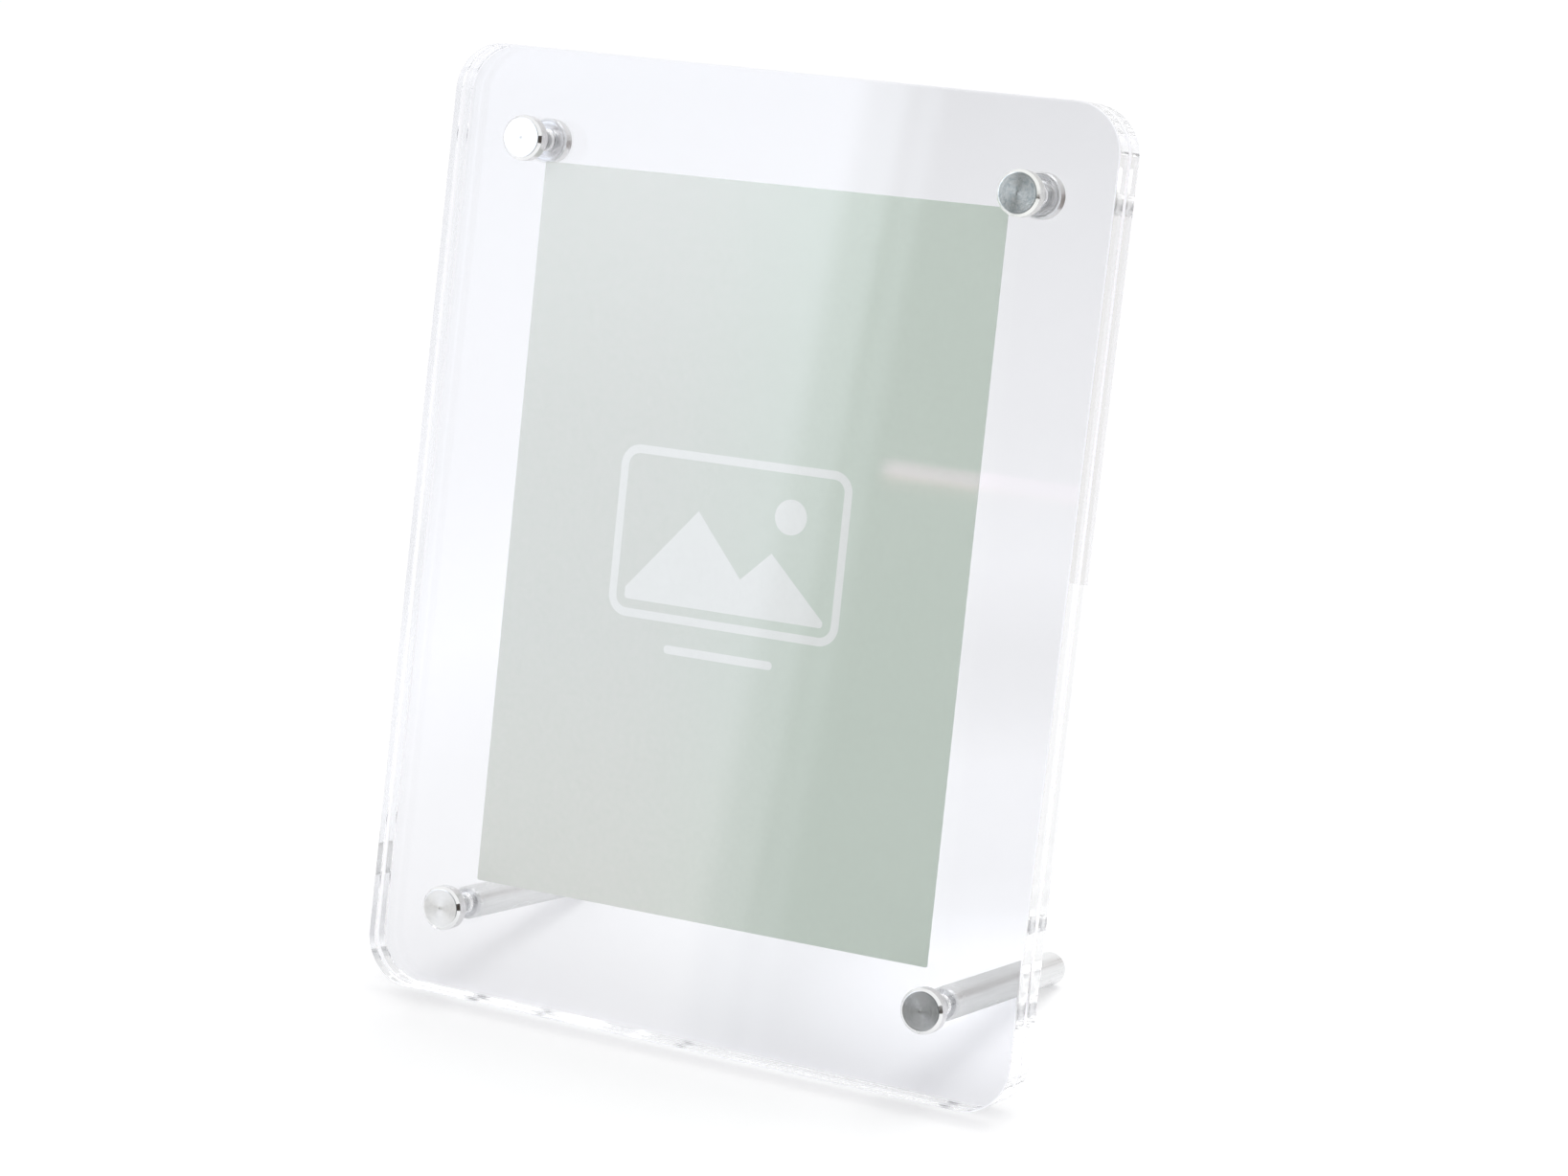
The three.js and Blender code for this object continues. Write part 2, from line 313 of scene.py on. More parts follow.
def make_plate(name, node, material):
    """A sheet with polished, rounded edges and four drilled holes, its front face at z = 0."""
    half = half_size(node)
    half_width = half.x / MM
    edge_rise = (PLATE_THICKNESS / 2 - EDGE_BEVEL) * NORMAL.z + EDGE_BEVEL * (1 - UP.z)
    half_height = (half.z / MM - edge_rise) / UP.z
    bevel = [math.pi / 2 * k / BEVEL_STEPS for k in range(BEVEL_STEPS + 1)]
    levels = [(EDGE_BEVEL * (1 - math.sin(a)), -EDGE_BEVEL * (1 - math.cos(a))) for a in bevel]
    levels.append((0, -EDGE_BEVEL - BEVEL_SUPPORT))
    levels += [(inset, -PLATE_THICKNESS - z) for inset, z in reversed(levels)]
    points, faces = [], []
    count = len(rounded_ring(half_width, half_height, 0, 0))
    for inset, z in levels:
        points += rounded_ring(half_width, half_height, inset, z)
    for level in range(len(levels) - 1):
        faces += band(level * count, (level + 1) * count, count, inward=False)
    front_loops, back_loops = [0], [(len(levels) - 1) * count]
    hole_levels = (
        (HOLE_RADIUS + HOLE_BREAK, 0),
        (HOLE_RADIUS, -HOLE_BREAK),
        (HOLE_RADIUS, -PLATE_THICKNESS + HOLE_BREAK),
        (HOLE_RADIUS + HOLE_BREAK, -PLATE_THICKNESS),
    )
    for sx in (-1, 1):
        for sy in (-1, 1):
            start = len(points)
            for radius, z in hole_levels:
                points += circle(sx * SCREW_X, sy * SCREW_Y, radius, z, HOLE_STEPS)
            for level in range(len(hole_levels) - 1):
                first = start + level * HOLE_STEPS
                faces += band(first, first + HOLE_STEPS, HOLE_STEPS, inward=True)
            front_loops.append(start)
            back_loops.append(start + (len(hole_levels) - 1) * HOLE_STEPS)
    smooth = [True] * len(faces)
    for at_front, (outline, *holes) in ((True, front_loops), (False, back_loops)):
        loops = [list(range(outline, outline + count))]
        loops += [list(range(hole, hole + HOLE_STEPS)) for hole in holes]
        flat = [i for loop in loops for i in loop]
        for triangle in tessellate_polygon([[Vector(points[i]) for i in loop] for loop in loops]):
            a, b, c = (flat[i] for i in triangle)
            u, v = Vector(points[b]) - Vector(points[a]), Vector(points[c]) - Vector(points[a])
            faces_front = u.cross(v).z > 0
            faces.append((a, b, c) if faces_front == at_front else (a, c, b))
            smooth.append(False)
    place = Matrix.Translation(middle(node) + NORMAL * PLATE_THICKNESS / 2 * MM) @ LEAN
    return new_piece(name, points, faces, place, material, smooth)


def turned(name, profile, place, material, steps=CAP_STEPS, ripple=None):
    """A shape turned about z from a profile of (radius, z) that starts and ends on the axis.

    ripple, where it is given, sets a rod's side in a little at each step round.
    """
    points, faces = [], []
    rows = []
    for radius, z in profile:
        rows.append(len(points))
        if radius == 0:
            points.append((0, 0, z))
            continue
        for k in range(steps):
            angle = 2 * math.pi * k / steps
            r = radius + (ripple[k] if ripple and radius == ROD_RADIUS else 0)
            points.append((r * math.cos(angle), r * math.sin(angle), z))
    for i in range(len(profile) - 1):
        a, b = rows[i], rows[i + 1]
        for k in range(steps):
            n = (k + 1) % steps
            if profile[i][0] == 0:
                faces.append((a, b + k, b + n))
            elif profile[i + 1][0] == 0:
                faces.append((a + k, b, a + n))
            else:
                faces.append((a + k, b + k, b + n, a + n))
    return new_piece(name, points, faces, place, material)


def faced(inner, outer, z, sign=1, deep=GROOVE_DEPTH):
    """Profile points of a faced end from inner to outer radius, with the tool's fine grooves."""
    count = max(2, round((outer - inner) / GROOVE_SPACING))
    out = []
    for k in range(count + 1):
        depth = 0 if k in (0, count) or k % 2 == 0 else deep * rng.uniform(*GROOVE_SPREAD)
        out.append((inner + (outer - inner) * k / count, z - sign * depth))
    return out


def pip(z, sign=1):
    """The small centre mark that facing leaves, from the axis out."""
    return [(PIP_RADIUS * across, z - sign * PIP_DEPTH * down) for across, down in PIP_SHAPE]


def cap_profile():
    """A cap or rear nut: its face at the top, its open bore below."""
    top, edge, soft = CAP_HEIGHT, CAP_RADIUS, CAP_SOFT
    near, shoulder = soft * CAP_SOFT_SHARE, top - CAP_CHAMFER
    profile = pip(top) + faced(PIP_RADIUS, edge - CAP_CHAMFER - soft, top)
    profile += [(edge - CAP_CHAMFER + near, top - near), (edge - near, shoulder + near)]
    profile += [(edge, shoulder - soft), (edge, shoulder - 2 * soft)]
    profile += [(edge, CAP_BREAK + soft), (edge, CAP_BREAK), (edge - CAP_BREAK, 0)]
    seat = faced(BORE_RADIUS + BORE_BREAK, edge - CAP_BREAK - soft, 0, -1, SEAT_GROOVE_DEPTH)
    profile += list(reversed(seat))
    profile += [(BORE_RADIUS, BORE_BREAK), (BORE_RADIUS, CAP_BORE_DEPTH)]
    profile += [(0, CAP_BORE_DEPTH + CAP_BORE_TIP)]
    return profile


def rod_profile():
    """A leg: its front end, with the bore for the stud, at z = 0."""
    soft, back = ROD_SOFT, -ROD_LENGTH
    profile = [(0, -ROD_BORE_DEPTH - ROD_BORE_TIP), (BORE_RADIUS, -ROD_BORE_DEPTH)]
    profile += [(BORE_RADIUS, -BORE_BREAK)]
    profile += faced(BORE_RADIUS + BORE_BREAK, ROD_RADIUS - ROD_CHAMFER, 0)
    profile += [(ROD_RADIUS - soft, -ROD_CHAMFER + soft), (ROD_RADIUS, -ROD_CHAMFER - soft)]
    profile += [(ROD_RADIUS, back * k / 4) for k in (1, 2, 3)]
    profile += [(ROD_RADIUS, back + ROD_CHAMFER + soft)]
    profile += [(ROD_RADIUS - soft, back + ROD_CHAMFER - soft)]
    profile += list(reversed(faced(PIP_RADIUS, ROD_RADIUS - ROD_CHAMFER, back, -1)))
    profile += list(reversed(pip(back, -1)))
    return profile


def threaded(name, front, back, place, material):
    """A stud with a cut thread along z, both ends chamfered."""
    steps = THREAD_STEPS
    rows = round((front - back) / THREAD_PITCH * THREAD_ROWS)
    points, faces = [(0, 0, front)], []
    for row in range(rows + 1):
        z = front + (back - front) * row / rows
        to_end = min(front - z, z - back)
        for k in range(steps):
            angle = 2 * math.pi * k / steps
            phase = (z / THREAD_PITCH - k / steps) % 1.0
            flank = min(max((abs(phase - 0.5) * 2 - THREAD_CREST) / THREAD_FLANK, 0), 1)
            radius = min(STUD_RADIUS - THREAD_DEPTH * flank, STUD_RADIUS - STUD_CHAMFER + to_end)
            points.append((radius * math.cos(angle), radius * math.sin(angle), z))
    points.append((0, 0, back))
    last = len(points) - 1
    for k in range(steps):
        n = (k + 1) % steps
        faces.append((0, 1 + k, 1 + n))
        faces.append((last - steps + k, last, last - steps + n))
        for row in range(rows):
            a, b = 1 + row * steps, 1 + (row + 1) * steps
            faces.append((a + k, b + k, b + n, a + n))
    return new_piece(name, points, faces, place, material)


def card_lines(size, count):
    """Where the card's mesh lines cross one of its sides, with a narrow strip at each end."""
    inner = [-size / 2 + size * k / count for k in range(1, count)]
    return [-size / 2, -size / 2 + CARD_RIM] + inner + [size / 2 - CARD_RIM, size / 2]


def make_card(name, place, material):
    """A thin card with slightly blunted corners, very slightly bowed in its gap."""
    def bow(x, y):
        across = math.sin(x / BOW_LENGTH_X + BOW_START_X)
        return CARD_BOW * across * math.cos(y / BOW_LENGTH_Y + BOW_START_Y)

    def blunted(at):
        return at * (1 - CARD_CORNER_CUT * CARD_RIM / abs(at))

    xs, ys = card_lines(CARD_WIDTH, CARD_COLUMNS), card_lines(CARD_HEIGHT, CARD_ROWS)
    across, up = len(xs), len(ys)
    points = []
    for shaded_side in (1, -1):
        for j, y in enumerate(ys):
            for i, x in enumerate(xs):
                corner = i in (0, across - 1) and j in (0, up - 1)
                px, py = (blunted(x), blunted(y)) if corner else (x, y)
                points.append((px, py, bow(x, y) + shaded_side * CARD_THICKNESS / 2))
    faces = []
    layer = across * up
    for j in range(up - 1):
        for i in range(across - 1):
            a = j * across + i
            faces.append((a, a + 1, a + across + 1, a + across))
            faces.append((layer + a, layer + a + across, layer + a + across + 1, layer + a + 1))
    rim = list(range(across))
    rim += [j * across + across - 1 for j in range(1, up)]
    rim += [(up - 1) * across + i for i in range(across - 2, -1, -1)]
    rim += [j * across for j in range(up - 2, 0, -1)]
    for k, a in enumerate(rim):
        b = rim[(k + 1) % len(rim)]
        faces.append((a, layer + a, layer + b, b))
    return new_piece(name, points, faces, place, material)


# Materials

class Shader:
    """A material's or the world's node tree, with short calls to add to it."""

    def __init__(self, owner):
        owner.use_nodes = True
        self.owner, self.tree = owner, owner.node_tree
        self.tree.nodes.clear()

    def add(self, kind, inputs=None, **settings):
        node = self.tree.nodes.new(kind)
        for key, value in settings.items():
            setattr(node, key, value)
        for key, value in (inputs or {}).items():
            if isinstance(value, bpy.types.NodeSocket):
                self.tree.links.new(value, node.inputs[key])
            else:
                node.inputs[key].default_value = value
        return node

    def maths(self, operation, a, b=0.0, c=0.0, clamp=False):
        settings = {"operation": operation, "use_clamp": clamp}
        return self.add("ShaderNodeMath", {0: a, 1: b, 2: c}, **settings).outputs[0]

    def length(self, a, b):
        return self.maths("SQRT", self.maths("MULTIPLY_ADD", a, a, self.maths("MULTIPLY", b, b)))

    def split(self, vector):
        return self.add("ShaderNodeSeparateXYZ", {0: vector}).outputs

    def coords(self, scale=(1, 1, 1), turn=(0, 0, 0)):
        place = self.add("ShaderNodeTexCoord").outputs["Object"]
        inputs = {"Vector": place, "Scale": scale, "Rotation": turn}
        return self.add("ShaderNodeMapping", inputs).outputs[0]

    def outward(self):
        """How far the surface faces along the piece's own z, from -1 to 1."""
        return self.split(self.add("ShaderNodeTexCoord").outputs["Normal"])[2]

    def noise(self, vector, scale=1.0, detail=3.0, roughness=0.5):
        inputs = {"Vector": vector, "Scale": scale, "Detail": detail, "Roughness": roughness}
        return self.add("ShaderNodeTexNoise", inputs).outputs[0]

    def span(self, value, low, high, to_low, to_high, smooth=False):
        """A value carried over from one range to another, and kept within that."""
        inputs = {"Value": value, "From Min": low, "From Max": high}
        inputs.update({"To Min": to_low, "To Max": to_high})
        kind = "SMOOTHSTEP" if smooth else "LINEAR"
        return self.add("ShaderNodeMapRange", inputs, interpolation_type=kind).outputs[0]

    def steps(self, value, stops):
        """A value that runs straight between (at, level) stops."""
        first, last = stops[0][0], stops[-1][0]
        ramp = self.add("ShaderNodeValToRGB", {0: self.span(value, first, last, 0.0, 1.0)})
        keys = ramp.color_ramp.elements
        for number, (at, level) in enumerate(stops):
            place = (at - first) / (last - first)
            key = keys[number] if number < 2 else keys.new(place)
            if number < 2:
                key.position = place
            key.color = (level, level, level, 1)
        return self.add("ShaderNodeSeparateColor", {0: ramp.outputs[0]}).outputs[0]

    def mix(self, factor, a, b):
        node = self.add("ShaderNodeMix", {"Factor": factor}, data_type="RGBA")
        for socket, value in ((node.inputs[6], a), (node.inputs[7], b)):
            if isinstance(value, bpy.types.NodeSocket):
                self.tree.links.new(value, socket)
            else:
                socket.default_value = (*value, 1.0)
        return node.outputs[2]

    def blend(self, factor, a, b):
        """As mix, for plain numbers."""
        inputs = {"Factor": factor, "A": a, "B": b}
        return self.add("ShaderNodeMix", inputs, data_type="FLOAT").outputs[0]

    def bump(self, height, distance, strength=1.0, below=None):
        inputs = {"Height": height, "Distance": distance, "Strength": strength}
        if below is not None:
            inputs["Normal"] = below
        return self.add("ShaderNodeBump", inputs).outputs[0]

    def metal(self, colour, roughness, normal, anisotropy=0.0, turn=0.0):
        inputs = {"Base Color": colour, "Metallic": 1.0, "Roughness": roughness, "Normal": normal}
        if anisotropy:
            tangent = self.add("ShaderNodeTangent", direction_type="RADIAL", axis="Z").outputs[0]
            inputs.update({"Anisotropic": anisotropy, "Anisotropic Rotation": turn})
            inputs["Tangent"] = tangent
        return self.finish(self.add("ShaderNodeBsdfPrincipled", inputs))

    def glow(self, colour, strength):
        return self.add("ShaderNodeEmission", {"Color": colour, "Strength": strength})

    def both(self, first, second):
        """Two surfaces added up."""
        return self.add("ShaderNodeAddShader", {0: first.outputs[0], 1: second.outputs[0]})

    def either(self, factor, first, second):
        """The first surface where factor is 0, and the second where it is 1."""
        inputs = {0: factor, 1: first.outputs[0], 2: second.outputs[0]}
        return self.add("ShaderNodeMixShader", inputs)

    def finish(self, surface, kind="ShaderNodeOutputMaterial"):
        self.add(kind, {"Surface": surface.outputs[0]})
        return self.owner


def scaled(colour, share):
    return [channel * share for channel in colour]


def make_acrylic(name):
    """Clear sheet: polished faces with a few hairlines, softer edges, dull walls in its holes."""
    s = Shader(bpy.data.materials.new(name))
    on_edge = s.span(s.maths("ABSOLUTE", s.outward()), *EDGE_FACING, 1.0, 0.0)
    hairs = s.noise(s.coords(HAIR_SCALE, HAIR_TURN), detail=2.0)
    hairs = s.span(hairs, *HAIR_FROM, 0.0, 1.0)
    place = s.split(s.coords())
    from_screw = [
        s.maths("SUBTRACT", s.maths("ABSOLUTE", place[axis]), at * MM)
        for axis, at in enumerate((SCREW_X, SCREW_Y))
    ]
    in_hole = s.maths("MULTIPLY", s.span(s.length(*from_screw), *HOLE_REACH, 1.0, 0.0), on_edge)
    marks = s.maths("MULTIPLY", s.noise(s.coords(HOLE_MARK_SCALE), detail=2.0), in_hole)
    smear = s.noise(s.coords(), SMEAR_SCALE, detail=4.0)
    smear = s.span(smear, *SMEAR_FROM, 0.0, SMEAR_ROUGHNESS)
    rough = s.maths("ADD", smear, s.maths("MULTIPLY", on_edge, EDGE_ROUGHNESS))
    glass = s.add("ShaderNodeBsdfPrincipled", {
        "Base Color": (*ACRYLIC_TINT, 1), "IOR": ACRYLIC_IOR, "Transmission Weight": 1.0,
        "Roughness": s.maths("MULTIPLY_ADD", in_hole, HOLE_ROUGHNESS, rough),
        "Normal": s.bump(marks, HOLE_MARK_DEPTH, HOLE_MARK_STRENGTH, s.bump(hairs, HAIR_DEPTH)),
    })
    lets = s.add("ShaderNodeBsdfTransparent", {"Color": s.mix(on_edge, FACE_LETS, EDGE_LETS)})
    path = s.add("ShaderNodeLightPath").outputs
    past = s.maths("MAXIMUM", path["Is Shadow Ray"], path["Is Diffuse Ray"])
    return s.finish(s.either(past, glass, lets))


def make_turned(name, base, stain, spots, pits, flecks):
    """Aluminium off the lathe: mirror-like sides, and faces whose marks run round the axis."""
    s = Shader(bpy.data.materials.new(name))
    outward = s.outward()
    facing = s.maths("ABSOLUTE", outward)
    on_face = s.span(facing, *FACE_FACING, 0.0, 1.0)
    seated = s.span(outward, -FACE_FACING[1], -FACE_FACING[0], 1.0, 0.0)
    fleck = s.noise(s.coords(), flecks, detail=3.0, roughness=0.6)
    cloud = s.noise(s.coords(), flecks / CLOUD_PER_FLECK, detail=4.0, roughness=0.6)
    place = s.split(s.coords())
    radius = s.length(place[0], place[1])

    # The sides get a darker, warmer copy of the base colour: painted shade with a warm cast
    shaded_side = [channel * share for channel, share in zip(base, SIDE_SHADE_TINT)]
    colour = s.mix(s.span(facing, *SIDE_FACING, 0.0, 1.0), shaded_side, base)
    stained = s.maths("MULTIPLY", s.span(cloud, *STAIN_FROM, 0.0, 1.0), on_face)
    colour = s.mix(stained, colour, stain)
    spotted = s.maths("MULTIPLY", s.span(fleck, *SPOT_FROM, 0.0, spots), on_face)
    colour = s.mix(spotted, colour, SPOT_COLOUR)
    # The seat faces get darker brown rings round the axis: painted shade and painted brown
    # reflection
    seat_rings = s.add("ShaderNodeCombineXYZ", {0: radius}).outputs[0]
    seat_rings = s.noise(seat_rings, SEAT_SHADE_SCALE, detail=2.0)
    shaded_seat = s.maths("MULTIPLY", s.span(seat_rings, *SEAT_SHADE_FROM, 0.0, SEAT_SHADE_SHARE), seated)
    colour = s.mix(shaded_seat, colour, SEAT_SHADE_COLOUR)
    burr = s.span(radius, *BURR_REACH, BURR_SHARE, 0.0, smooth=True)
    burr = s.maths("MULTIPLY", s.maths("MULTIPLY", burr, on_face), s.maths("SUBTRACT", 1.0, seated))
    colour = s.mix(burr, colour, BURR_COLOUR)

    along = s.maths("MULTIPLY", s.maths("ADD", radius, place[2]), 2 * math.pi / RING_SPACING)
    pitted = s.bump(fleck, pits, PIT_STRENGTH)
    normal = s.bump(s.maths("SINE", along), RING_DEPTH, RING_STRENGTH, pitted)
    side_rough = s.span(cloud, *ROUGH_FROM, 0.0, SIDE_ROUGHNESS_CLOUD)
    side_rough = s.maths("ADD", s.span(facing, *SIDE_FACING, *SIDE_ROUGHNESS), side_rough)
    rough = s.blend(on_face, side_rough, s.span(cloud, *ROUGH_FROM, *FACE_ROUGHNESS))
    rough = s.blend(seated, rough, SEAT_ROUGHNESS)
    return s.metal(colour, rough, normal, TURNED_ANISOTROPY, TURNED_ANISOTROPY_TURN)


def make_satin(name):
    """Drawn aluminium rod: satin, with fine lines along its length."""
    s = Shader(bpy.data.materials.new(name))
    drawn = s.noise(s.coords(SATIN_LINE_SCALE), detail=4.0, roughness=0.65)
    cloud = s.noise(s.coords(SATIN_CLOUD_SCALE))
    line = s.span(drawn, *SATIN_LINE_FROM, 0.0, 1.0)
    colour = s.mix(line, scaled(SATIN_BASE, SATIN_LINE_SHADE), SATIN_BASE)
    rough = s.span(cloud, *SATIN_CLOUD_FROM, *SATIN_ROUGHNESS)
    normal = s.bump(drawn, SATIN_LINE_DEPTH, SATIN_LINE_STRENGTH)
    return s.metal(colour, rough, normal, SATIN_ANISOTROPY)


def make_steel(name):
    """Bright plated steel screw thread, a little duller in places."""
    s = Shader(bpy.data.materials.new(name))
    cloud = s.noise(s.coords(), STEEL_CLOUD_SCALE, detail=4.0)
    bright = s.span(cloud, *STEEL_CLOUD_FROM, 0.0, 1.0)
    colour = s.mix(bright, scaled(STEEL_BASE, STEEL_SHADE), STEEL_BASE)
    rough = s.span(cloud, *ROUGH_FROM, *STEEL_ROUGHNESS)
    return s.metal(colour, rough, s.bump(cloud, STEEL_DEPTH, STEEL_STRENGTH))


def printed_sign(s, across, up):
    """How much the sign covers, 0 to 1: a frame with two hills and a sun, over a short line."""
    x = s.maths("SUBTRACT", across, SIGN_CENTRE[0])
    y = s.maths("SUBTRACT", up, SIGN_CENTRE[1])

    def inside(distance):
        return s.span(distance, -PRINT_EDGE, PRINT_EDGE, 1.0, 0.0)

    def hill(at, top, slope):
        shaded_side = s.maths("MULTIPLY", s.maths("ABSOLUTE", s.maths("SUBTRACT", x, at)), slope)
        above = s.maths("SUBTRACT", s.maths("ADD", shaded_side, y), top)
        return s.maths("DIVIDE", above, math.hypot(1, slope))

    past_x = s.maths("SUBTRACT", s.maths("ABSOLUTE", x), SIGN_HALF[0] - SIGN_CORNER)
    past_y = s.maths("SUBTRACT", s.maths("ABSOLUTE", y), SIGN_HALF[1] - SIGN_CORNER)
    corner = s.length(s.maths("MAXIMUM", past_x, 0.0), s.maths("MAXIMUM", past_y, 0.0))
    reach = s.maths("SUBTRACT", corner, SIGN_CORNER)
    outline = inside(s.maths("SUBTRACT", s.maths("ABSOLUTE", reach), SIGN_LINE / 2))
    hills = s.maths("MINIMUM", *(hill(*shape) for shape in HILLS))
    hills = s.maths("MAXIMUM", hills, s.maths("ADD", reach, HILLS_FROM_FRAME))
    from_sun = s.length(s.maths("SUBTRACT", x, SUN_X), s.maths("SUBTRACT", y, SUN_Y))
    sun = s.maths("SUBTRACT", from_sun, SUN_RADIUS)
    below = s.maths("SUBTRACT", y, -SIGN_HALF[1] - DASH_DROP)
    dash_end = s.maths("MAXIMUM", s.maths("SUBTRACT", s.maths("ABSOLUTE", x), DASH_HALF), 0.0)
    dash = s.maths("SUBTRACT", s.length(dash_end, below), DASH_RADIUS)
    filled = s.maths("MINIMUM", hills, s.maths("MINIMUM", sun, dash))
    return s.maths("MAXIMUM", outline, inside(filled))


def make_card_stock(name):
    """Pale green coated card, printed on its front with a plain sign for a picture, its left side
    paler from a painted reflection.
    """
    s = Shader(bpy.data.materials.new(name))
    place = s.split(s.coords((1 / MM, 1 / MM, 1 / MM)))
    grain = s.noise(s.coords(), GRAIN_SCALE, detail=5.0, roughness=0.7)
    cloud = s.noise(s.coords(), CARD_CLOUD_SCALE, detail=2.0)
    paper = s.mix(s.span(cloud, *CARD_CLOUD_FROM, 0.0, 1.0), CARD_GREEN, CARD_GREEN_DEEP)
    # The left side is painted paler and greyer: a painted reflection of the bright panel at the
    # left
    painted_sheen = s.span(place[0], -CARD_SHEEN_REACH, CARD_SHEEN_REACH, 1.0, 0.0, smooth=True)
    paper = s.mix(painted_sheen, paper, CARD_SHEEN_COLOUR)
    grainy = s.span(grain, *GRAIN_FROM, 0.0, GRAIN_SHARE)
    paper = s.mix(grainy, paper, scaled(CARD_GREEN, GRAIN_SHADE))
    thin = s.span(grain, *PRINT_GRAIN_FROM, 0.0, 1.0)
    ink = s.mix(thin, CARD_PRINT, scaled(CARD_PRINT, PRINT_SHADE))
    on_front = s.span(s.outward(), *PRINT_FACING, 0.0, 1.0)
    printed = s.maths("MULTIPLY", printed_sign(s, place[0], place[1]), on_front)
    return s.finish(s.add("ShaderNodeBsdfPrincipled", {
        "Base Color": s.mix(printed, paper, ink),
        "Roughness": s.span(grain, *GRAIN_ROUGH_FROM, *CARD_ROUGHNESS),
        "Coat Weight": 1.0, "Coat Roughness": COAT_ROUGHNESS, "Coat IOR": COAT_IOR,
        "Normal": s.bump(grain, GRAIN_DEPTH, GRAIN_STRENGTH),
    }))


# The pieces

acrylic = make_acrylic("clear_acrylic")
turned_metal = make_turned("turned_aluminium", **BRIGHT)
spotted_metal = make_turned("spotted_aluminium", **SPOTTED)
satin_metal = make_satin("satin_aluminium")
steel = make_steel("stud_steel")
card_stock = make_card_stock("card_stock")


def hand_over(piece, node, body):
    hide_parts(node)
    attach(piece, body)


for name, node, body in (
    ("sheet_front", "front_plate", "front_plate"),
    ("sheet_back", "back_plate", "rear_frame"),
):
    hand_over(make_plate(name, node, acrylic), node, body)

card_place = Matrix.Translation(middle("photo_card")) @ LEAN @ Matrix.Rotation(CARD_TURN, 4, "Z")
hand_over(make_card("printed_card", card_place, card_stock), "photo_card", "photo_card")

for row_name, sy, stud_back in (("top", 1, STUD_BACK_TOP), ("bottom", -1, STUD_BACK_BOTTOM)):
    for side_name, sx in (("left", -1), ("right", 1)):
        corner = f"{row_name}_{side_name}"
        x, y = sx * SCREW_X, sy * SCREW_Y
        metal = spotted_metal if corner == "top_right" else turned_metal
        cap = turned(f"screw_cap_{corner}", cap_profile(), on_plate(x, y, CAP_SEAT), metal)
        hand_over(cap, f"cap_{corner}", f"cap_{corner}")
        stud = threaded(f"thread_{corner}", STUD_FRONT, stud_back, on_plate(x, y), steel)
        hand_over(stud, f"stud_{corner}", f"stud_{corner}")
        place = on_plate(x, y, STACK_BACK - SEAT_CLEARANCE)
        if sy > 0:
            place = place @ Matrix.Rotation(math.pi, 4, "X")
            nut = turned(f"back_nut_{side_name}", cap_profile(), place, turned_metal)
            hand_over(nut, f"rear_nut_{side_name}", "rear_frame")
        else:
            ripple = [rng.uniform(-ROD_RIPPLE, 0) for _ in range(ROD_STEPS)]
            rod = turned(f"leg_{side_name}", rod_profile(), place, satin_metal, ROD_STEPS, ripple)
            hand_over(rod, f"leg_rod_{side_name}", "rear_frame")


# Floor, surroundings, lamps and camera

def glow_from(s, centre, stops):
    """A glow on the floor that goes by the distance from a centre."""
    away = s.add("ShaderNodeVectorMath", {0: s.coords(), 1: centre}, operation="DISTANCE")
    return s.steps(away.outputs["Value"], stops)


def make_floor():
    """A pale floor that shows white around the object and keeps its shadow."""
    mesh = bpy.data.meshes.new("floor")
    angles = [2 * math.pi * k / FLOOR_SIDES for k in range(FLOOR_SIDES)]
    rim = [(math.cos(a) * FLOOR_RADIUS, math.sin(a) * FLOOR_RADIUS, 0) for a in angles]
    mesh.from_pydata(rim, [], [tuple(range(FLOOR_SIDES))])
    s = Shader(bpy.data.materials.new("floor_white"))
    path = s.add("ShaderNodeLightPath").outputs
    lit = s.add("ShaderNodeBsdfDiffuse", {"Color": (*FLOOR_COLOUR, 1)})
    in_open = glow_from(s, FLOOR_GLOW_CENTRE, FLOOR_OPEN_GLOW)
    behind = glow_from(s, FLOOR_GLOW_CENTRE, FLOOR_THROUGH_GLOW)
    behind = s.maths("ADD", behind, glow_from(s, FLOOR_POOL_CENTRE, FLOOR_POOL_GLOW))
    through = s.maths("MULTIPLY", path["Is Transmission Ray"], behind)
    direct = s.maths("MULTIPLY", path["Is Camera Ray"], in_open)
    in_metal = s.maths("MULTIPLY", path["Is Glossy Ray"], in_open)
    in_metal = s.maths("MULTIPLY", in_metal, FLOOR_METAL_SHARE)
    level = s.maths("MAXIMUM", through, s.maths("MAXIMUM", direct, in_metal))
    colour = s.mix(path["Is Transmission Ray"], (1, 1, 1), FLOOR_THROUGH_COLOUR)
    mesh.materials.append(s.finish(s.both(lit, s.glow(colour, level))))
    new_object("floor", mesh)


def only_mirrored(s, glow, straight=False):
    """Shows a glow to rays mirrored once or twice, or to all that come straight from a mirror."""
    path = s.add("ShaderNodeLightPath").outputs
    if straight:
        # Cycles marks a refracted ray as glossy too
        refracted = path["Is Transmission Ray"]
        mirrored = s.maths("SUBTRACT", path["Is Glossy Ray"], refracted, clamp=True)
    else:
        # A glossy depth of 1 or 2
        mirrored = s.maths("COMPARE", path["Glossy Depth"], 1.5, 1.1)
    return s.finish(s.either(mirrored, s.add("ShaderNodeBsdfTransparent"), glow))


def looking(place, away):
    """A place turned so that its z points away."""
    turn = away.normalized().to_track_quat("Z", "Y").to_matrix().to_4x4()
    return Matrix.Translation(place) @ turn


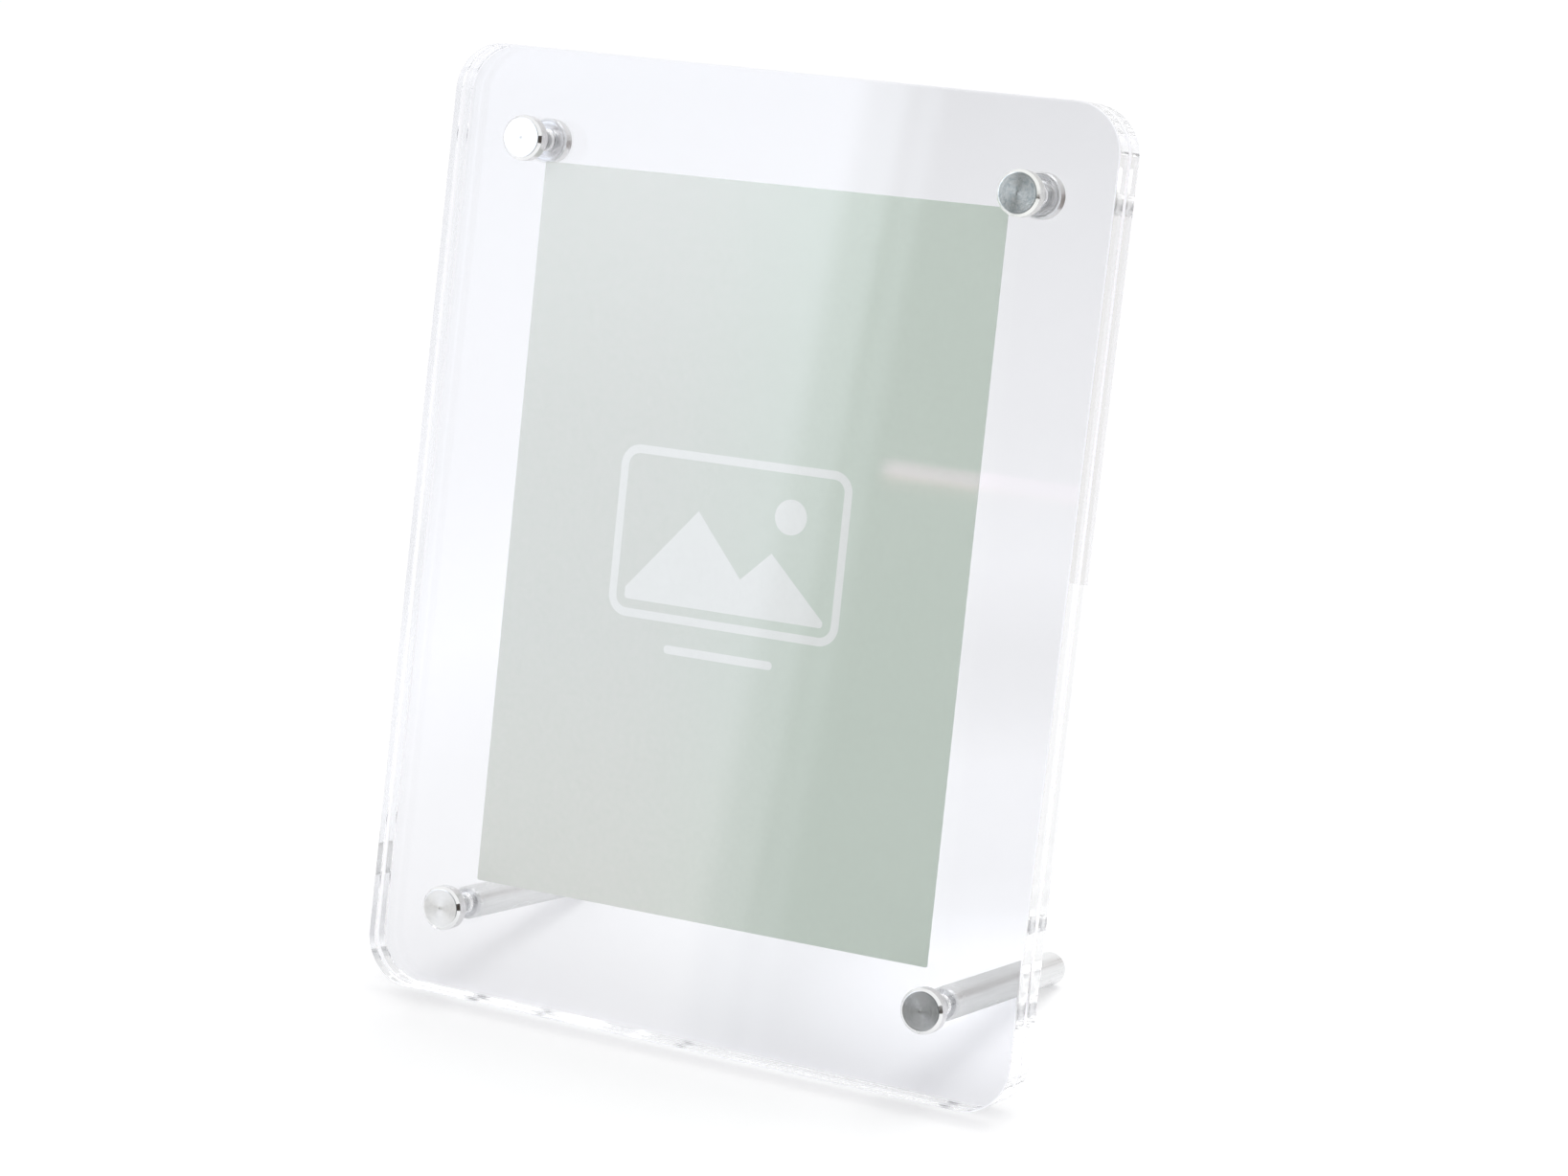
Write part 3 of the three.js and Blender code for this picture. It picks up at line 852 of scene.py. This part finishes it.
def card_at(name, centre, facing, width, height, material):
    """A studio card that only reflections show, centred at a place and facing another."""
    mesh = bpy.data.meshes.new(name)
    w, h = width / 2, height / 2
    mesh.from_pydata([(-w, -h, 0), (w, -h, 0), (w, h, 0), (-w, h, 0)], [], [(0, 1, 2, 3)])
    mesh.materials.append(material)
    sheet = new_object(name, mesh, looking(centre, Vector(facing) - Vector(centre)))
    sheet.visible_camera = False
    sheet.visible_diffuse = False
    sheet.visible_shadow = False


def make_room():
    """What the front faces mirror: a bright panel at the left, and a dim room with a pale bar."""
    s = Shader(bpy.data.materials.new("room_seen_in_gloss"))
    across, _, up = s.split(s.add("ShaderNodeNewGeometry").outputs["Position"])
    lean = s.maths("MULTIPLY", s.maths("SUBTRACT", up, PANEL_SLANT_FROM), PANEL_SLANT)
    bright = s.steps(s.maths("ADD", across, lean), PANEL_STEPS)
    # The levels are halved for the ramp, which is made for 0 to 1, and doubled after it
    panel = s.steps(up, [(at, level / 2) for at, level in PANEL_LEVELS])
    panel = s.maths("MULTIPLY", panel, 2.0)
    level = s.blend(bright, s.span(up, *DIM_HEIGHTS, *DIM_LEVELS), panel)
    panel_colour = s.mix(s.span(up, *PANEL_LOW_HEIGHTS, 0.0, 1.0), PANEL_LOW_COLOUR, PANEL_COLOUR)
    colour = s.mix(bright, DIM_COLOUR, panel_colour)
    bar_up = s.maths("SUBTRACT", up, BAR_HEIGHT)
    bar = s.maths("MULTIPLY", s.steps(bar_up, BAR_RISE), s.steps(across, BAR_STEPS))
    bar_colour = s.mix(s.span(bar_up, *BAR_COLOUR_RISE, 0.0, 1.0), BAR_LOW_COLOUR, BAR_COLOUR)
    return only_mirrored(s, s.both(s.glow(colour, level), s.glow(bar_colour, bar)))


def make_metal_card(name, level, colour):
    """Something beside the frame that its metal mirrors, a little uneven."""
    s = Shader(bpy.data.materials.new(name))
    cloud = s.noise(s.coords(), METAL_CARD_SCALE, detail=2.0)
    strength = s.span(cloud, *METAL_CARD_FROM, level * METAL_CARD_SHADE, level)
    return only_mirrored(s, s.glow((*colour, 1), strength), straight=True)


def make_world():
    """White around everything that is looked at, and a plain soft light on what is lit."""
    world = bpy.data.worlds.new("studio")
    bpy.context.scene.world = world
    s = Shader(world)
    path = s.add("ShaderNodeLightPath").outputs
    seen = s.maths("MAXIMUM", path["Is Camera Ray"], path["Is Glossy Ray"])
    strength = s.span(s.maths("MAXIMUM", seen, path["Is Transmission Ray"]), 0.0, 1.0, AMBIENT, 1.0)
    light = s.add("ShaderNodeBackground", {"Color": (1, 1, 1, 1), "Strength": strength})
    s.finish(light, "ShaderNodeOutputWorld")


make_floor()
for name, shade, centre, facing, width, height, level, colour in METAL_CARDS:
    material = make_metal_card(f"{shade}_seen_in_gloss", level, colour)
    card_at(name, centre, facing, width, height, material)
card_at("room_card", ROOM_CENTRE, ROOM_FACING, *ROOM_SIZE, make_room())
make_world()

for name, place, aim, size, power, shadow in LAMPS:
    light = bpy.data.lights.new(name, "AREA")
    light.shape, light.size, light.energy, light.use_shadow = "DISK", size, power, shadow
    lamp = new_object(name, light, looking(place, Vector(place) - Vector(aim)))
    lamp.visible_glossy = False

view = bpy.data.cameras.new("camera")
view.sensor_fit, view.sensor_width, view.lens = "HORIZONTAL", CAMERA_FILM, CAMERA_LENS
view.clip_start = CAMERA_NEAR
axes = Matrix((CAMERA_RIGHT, -CAMERA_DOWN, -CAMERA_AHEAD)).transposed()
camera = new_object("camera", view, Matrix.Translation(CAMERA_PLACE) @ axes.to_4x4())
bpy.context.scene.camera = camera
bpy.context.scene.view_settings.view_transform = "Standard"
for kind in ("max", "glossy", "transmission"):
    setattr(bpy.context.scene.cycles, f"{kind}_bounces", LIGHT_BOUNCES)
